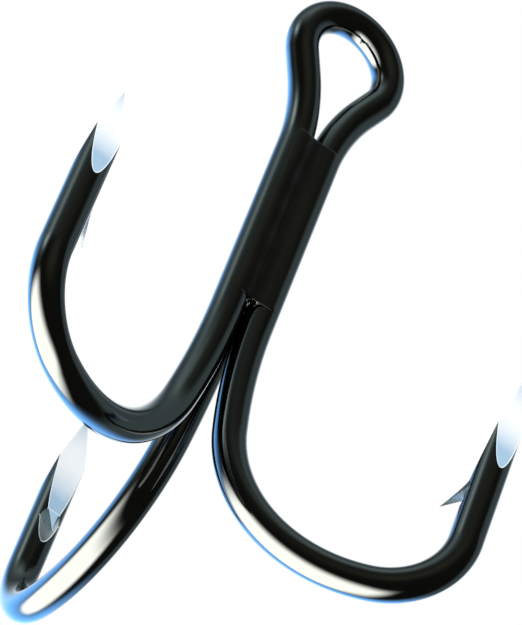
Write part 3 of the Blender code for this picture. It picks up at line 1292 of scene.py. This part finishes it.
@dataclass
class Studio:
    """The camera, the surroundings that the plating mirrors, the key light and the floor."""

    middle: Vector
    azimuth: float = math.radians(-21.18)
    elevation: float = math.radians(-39.67)
    roll: float = math.radians(22.13)
    distance: float = 0.4155
    aim: tuple[float, float] = (1.07 * MM, -1.87 * MM)   # off the middle, to the right and up
    lens_mm: float = 341.0
    floor_height: float = -0.33
    floor_half: float = 60.0
    floor_tone: Colour = (0.79, 0.79, 0.795)
    horizon: Colour = (0.90, 0.90, 0.905)
    backdrop: Colour = (1.0, 1.0, 1.0)
    fill: Colour = (0.72, 0.74, 0.76)
    key_power: float = 1.78
    key_width: float = math.radians(50)
    key_from: tuple[float, float, float] = (0.278, -0.60, 0.75)
    panel_light: Colour = (11.6, 12.0, 11.5)
    panel_corners: tuple[tuple[float, float], ...] = (   # spread and bearing, as in toward
        (65.9, 146.0), (46.0, -75.0), (108.4, -114.5), (107.0, 177.7))
    panel_softness: tuple[float, ...] = (17.0, 12.0, 7.0, 11.0)   # half widths of its edges, degrees
    dark: Colour = (0.042, 0.042, 0.038)          # the surroundings on the camera's side
    blue_bearing: float = math.radians(215)       # the side that the blue light comes from
    blue_ends: tuple[float, float] = (math.radians(90), math.radians(46))   # none, then all of it
    patches: tuple[Patch, ...] = (
        Patch(92, 119, 6.5, (2.4, 3.05, 2.95)), Patch(101, 82, 10, (0.55, 0.75, 0.75)),
        Patch(101, 104, 9, (0.34, 0.50, 0.55)), Patch(103, 128, 9, (0.16, 0.28, 0.40)),
        Patch(84, 138, 8, (0.16, 0.20, 0.17)), Patch(62, 62, 15, (0.13, 0.13, 0.10)),
        Patch(45, 80, 11, (0.06, 0.06, 0.04)), Patch(104, 55, 12, (0.10, 0.13, 0.12)),
    )

    def axes(self) -> tuple[Vector, Vector, Vector]:
        """Work out how the camera is turned.

        Returns:
            Its right, up and backward directions.
        """
        level = math.cos(self.elevation)
        back = Vector((math.sin(self.azimuth) * level, -math.cos(self.azimuth) * level,
                       math.sin(self.elevation)))
        right = (-back).cross(UP).normalized()
        up = right.cross(-back)
        rolled = right * math.cos(self.roll) + up * math.sin(self.roll)
        return rolled, back.cross(rolled), back

    def toward(self, spread: float, bearing: float) -> Vector:
        """Return a direction round the set.

        Args:
            spread: degrees from the direction of the camera.
            bearing: degrees round that direction, 0 at the right and 90 at the top.

        Returns:
            The direction, one unit long.
        """
        right, up, back = self.axes()
        turn = math.radians(bearing)
        side = right * math.cos(turn) + up * math.sin(turn)
        return back * math.cos(math.radians(spread)) + side * math.sin(math.radians(spread))

    def camera(self) -> bpy.types.Object:
        """Make the camera.

        Returns:
            The camera, which the scene now looks through.
        """
        right, up, back = self.axes()
        data = bpy.data.cameras.new("camera")
        data.sensor_fit = "HORIZONTAL"
        data.sensor_width = 36.0
        data.lens = self.lens_mm
        data.clip_start = 0.01
        data.clip_end = 500.0
        obj = in_scene("camera", data)
        place = self.middle + right * self.aim[0] + up * self.aim[1] + back * self.distance
        turned = Matrix((right, up, back)).transposed().to_4x4()
        obj.matrix_world = Matrix.Translation(place) @ turned
        bpy.context.scene.camera = obj
        return obj

    def floor(self) -> bpy.types.Object:
        """Make the pale floor, which the plating doesn't mirror.

        Returns:
            The floor.
        """
        material = bpy.data.materials.new("pale_floor")
        material.use_nodes = True
        graph = Graph(material.node_tree)
        shader = graph.node("ShaderNodeBsdfPrincipled", {}, {
            "Base Color": self.floor_tone, "Roughness": 0.9, "Specular IOR Level": 0.0})
        graph.node("ShaderNodeOutputMaterial", {}, {"Surface": shader.outputs[0]})
        half = self.floor_half
        mesh = bpy.data.meshes.new("floor")
        corners = [(-half, -half, 0), (half, -half, 0), (half, half, 0), (-half, half, 0)]
        mesh.from_pydata(corners, [], [(0, 1, 2, 3)])
        mesh.materials.append(material)
        obj = in_scene("floor", mesh)
        obj.location = (0, 0, self.floor_height)
        obj.visible_glossy = False
        return obj

    def key(self) -> bpy.types.Object:
        """Make the broad soft key light, from above and in front.

        Returns:
            The light.
        """
        data = bpy.data.lights.new("key", "SUN")
        data.energy = self.key_power
        data.angle = self.key_width
        obj = in_scene("key", data)
        obj.rotation_euler = Vector(self.key_from).to_track_quat("Z", "Y").to_euler()
        obj.visible_glossy = False
        return obj

    def panel(self, graph: Graph, direction: bpy.types.NodeSocket) -> Value:
        """Stretch the big white panel between its four corners.

        Args:
            graph: the graph to build in.
            direction: the direction that is looked in.

        Returns:
            How much of the panel is seen there, from 0 to 1.
        """
        corners = [self.toward(spread, bearing) for spread, bearing in self.panel_corners]
        heart = sum(corners, Vector())
        seen: Value | None = None
        for i, half in enumerate(self.panel_softness):
            normal = corners[i].cross(corners[(i + 1) % len(corners)]).normalized()
            if normal.dot(heart) < 0:
                normal = -normal
            reach = math.sin(math.radians(half))
            inside = graph.along(direction, normal).rising(-reach, reach)
            seen = inside if seen is None else seen * inside
        return seen

    def glow(self, graph: Graph, direction: bpy.types.NodeSocket, patch: Patch) -> Value:
        """Return how strongly a patch is seen in a direction, 1 in its middle."""
        facing = graph.along(direction, self.toward(patch.spread, patch.bearing)).clamped()
        return facing ** (1 / math.radians(patch.width) ** 2)

    def rear(self, graph: Graph, angle: Value, stops: Sequence[tuple[float, Colour]]) -> bpy.types.NodeSocket:
        """Spread light over the angle from the direction of the camera.

        Args:
            graph: the graph to build in.
            angle: that angle, as a share of half a turn.
            stops: the light at some angles, as (degrees, colour).

        Returns:
            The light at the given angle.
        """
        brightest = max(max(colour) for _, colour in stops)
        ramp = [(degrees / 180, tuple(c / brightest for c in colour)) for degrees, colour in stops]
        colour = graph.node("ShaderNodeValToRGB", {"stops": ramp}, {0: angle}).outputs[0]
        return graph.vectors("SCALE", {0: colour, "Scale": brightest})

    def surroundings(self, graph: Graph, direction: bpy.types.NodeSocket) -> bpy.types.NodeSocket:
        """Lay out the light that the plating mirrors.

        Args:
            graph: the graph to build in.
            direction: the direction that is looked in.

        Returns:
            The colour of the light from there.
        """
        right, up, back = self.axes()
        across = graph.along(direction, right)
        rise = graph.along(direction, up)
        near = graph.along(direction, back)
        radius = (across * across + rise * rise + 1e-5) ** 0.5
        turn = self.blue_bearing
        bearing = (across * math.cos(turn) + rise * math.sin(turn)) / radius
        bluish = bearing.rising(math.cos(self.blue_ends[0]), math.cos(self.blue_ends[1]))
        angle = graph.value("ShaderNodeMath", {"operation": "ARCCOSINE"}, {0: near}) * (1 / math.pi)
        blue = self.rear(graph, angle, (
            (93, self.dark), (103, (0.26, 0.60, 1.2)), (111, (0.75, 1.9, 4.0)), (121, (1.1, 3.1, 6.6)),
            (132, (1.05, 3.1, 7.0)), (144, (1.3, 2.8, 5.2)), (154, (1.5, 2.3, 3.3)),
            (163, (1.4, 1.75, 2.05)), (172, (1.2, 1.25, 1.3))))
        grey = self.rear(graph, angle, (
            (97, self.dark), (109, (0.32, 0.44, 0.46)), (121, (0.29, 0.39, 0.43)), (131, (0.19, 0.28, 0.32)),
            (142, (0.38, 0.50, 0.58)), (151, (0.75, 0.92, 1.02)), (160, (1.25, 1.35, 1.4)),
            (172, (1.2, 1.25, 1.3))))
        lit = graph.blended(bluish, grey, blue)
        for patch in self.patches:
            seen = self.glow(graph, direction, patch)
            lit = graph.vectors("MULTIPLY_ADD", {0: patch.colour, 1: seen, 2: lit})
        return graph.blended(self.panel(graph, direction), lit, self.panel_light)

    def world(self) -> bpy.types.World:
        """Make the surroundings: white to look at, even to light by, and a studio in the plating.

        Returns:
            The world.
        """
        world = bpy.data.worlds.new("studio")
        bpy.context.scene.world = world
        world.use_nodes = True
        graph = Graph(world.node_tree)
        direction = graph.node("ShaderNodeTexCoord", {}, {}).outputs["Generated"]
        path = graph.node("ShaderNodeLightPath", {}, {})
        height = graph.along(direction, UP)
        sky = graph.blended(height.rising(0.02, 0.30), self.horizon, self.backdrop)
        mirrored = self.surroundings(graph, direction)
        glossy = Value(graph, path.outputs["Is Glossy Ray"])
        camera = Value(graph, path.outputs["Is Camera Ray"])
        light = graph.blended(glossy, self.fill, mirrored)
        shown = graph.blended(camera, light, sky)
        background = graph.node("ShaderNodeBackground", {}, {"Color": shown, "Strength": 1.0})
        graph.node("ShaderNodeOutputWorld", {}, {"Surface": background.outputs[0]})
        return world

    def build(self) -> None:
        """Set the whole studio up."""
        self.camera()
        self.floor()
        self.key()
        self.world()
        bpy.context.scene.view_settings.view_transform = "Standard"
        log.info("studio: camera, floor, key light and surroundings")


def main() -> None:
    """Build every piece of the treble hook round its frame."""
    logging.basicConfig(level=logging.INFO, format="%(name)s: %(message)s")
    for old in list(bpy.data.objects):
        bpy.data.objects.remove(old, do_unlink=True)
    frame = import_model()
    low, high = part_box("braze_fillet_front")
    joint = JointSizes(top=high.z, bottom=low.z)
    finishes = {
        "plate": BlackNickel().make(),
        "ground": GroundSteel().make(),
        # The rim's near-white colour is a painted highlight along the edges of the flats
        "rim": GroundSteel(name="ground_rim", bright=(1.0, 1.0, 1.0), cool=(0.86, 0.93, 1.0),
                           gloss=0.28).make(),
        # The rear hook's flats: the same steel, with its painted highlight further from the point
        "rear_ground_highlighted": GroundSteel(name="rear_ground_steel", highlight_at=5.6 * MM, highlight_reach=5.0 * MM).make(),
        # The notch's cut: pale near its mouth, a painted highlight, and darker further under the barb,
        # painted shade
        "cut": GroundSteel(name="cut_steel", bright=(0.43, 0.48, 0.50), cool=(0.17, 0.18, 0.18),
                           highlight_at=13.3 * MM, highlight_reach=1.9 * MM, metal=0.45, gloss=0.34,
                           line_width=0.2 * MM, line_depth=0.0002 * MM).make(),
        # The barb's sides: dark, with a paler band round the middle of the barb, a painted highlight
        "barb": GroundSteel(name="barb_steel", bright=(0.17, 0.20, 0.21), cool=(0.07, 0.08, 0.08),
                            highlight_at=14.2 * MM, highlight_reach=2.2 * MM, metal=0.85, gloss=0.26,
                            line_width=0.2 * MM, line_depth=0.0002 * MM).make(),
        "braze": PlatedBraze().make(),
        "core": BareBraze().make(),
    }
    TrebleWires(joint, finishes).build()
    BrazedJoint(joint, finishes, frame["nodes"]).build()
    Studio(joint.middle(VIEW_HEIGHT)).build()


if __name__ == "__main__":
    main()
